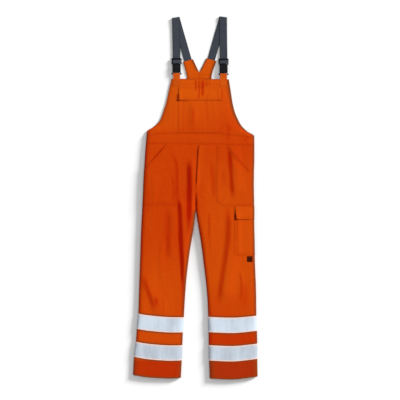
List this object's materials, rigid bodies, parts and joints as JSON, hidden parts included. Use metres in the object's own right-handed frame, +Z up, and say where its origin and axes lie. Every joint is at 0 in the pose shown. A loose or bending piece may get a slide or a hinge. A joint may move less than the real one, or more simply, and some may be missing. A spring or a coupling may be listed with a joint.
{
  "type": "bib overalls",
  "caption": "High-visibility bib overalls laid out flat, front up, with a bib pocket, hip pockets, a cargo pocket, reflective tape round the legs and elastic buckled straps.",
  "frame": {"origin": "centre of the garment's footprint on the surface it lies on", "axes": "+Y from the hems to the tops of the straps, +Z up from the surface, through the back and the front, +X to the right of the laid-out garment seen from above"},
  "size_m": [0.572, 1.6661, 0.0229],
  "materials": {
    "twill": "matt orange cotton and polyester twill",
    "reflective": "satin silver retroreflective tape",
    "webbing": "ribbed dark grey elastic webbing",
    "buckle": "moulded black plastic, slightly glossy",
    "label": "plain black woven tab"
  },
  "bodies": {
    "root": {"front_leg_left": "twill", "front_leg_right": "twill", "back_leg_left": "twill", "back_leg_right": "twill", "front_waistband": "twill", "back_waistband": "twill", "bib_front": "twill", "back_yoke_left": "twill", "back_yoke_right": "twill", "fly_flap": "twill", "hip_pocket_left": "twill", "hip_pocket_right": "twill", "cargo_pocket": "twill", "cargo_flap": "twill", "bib_pocket": "twill", "bib_pocket_flap": "twill", "pen_slot": "twill", "tab_left": "twill", "tab_right": "twill", "tape_upper_left": "reflective", "tape_lower_left": "reflective", "tape_upper_right": "reflective", "tape_lower_right": "reflective", "strap_left": "webbing", "strap_right": "webbing", "buckle_slider_left": "buckle", "buckle_socket_left": "buckle", "buckle_slider_right": "buckle", "buckle_socket_right": "buckle", "label_tab": "label"}
  },
  "joints": []
}
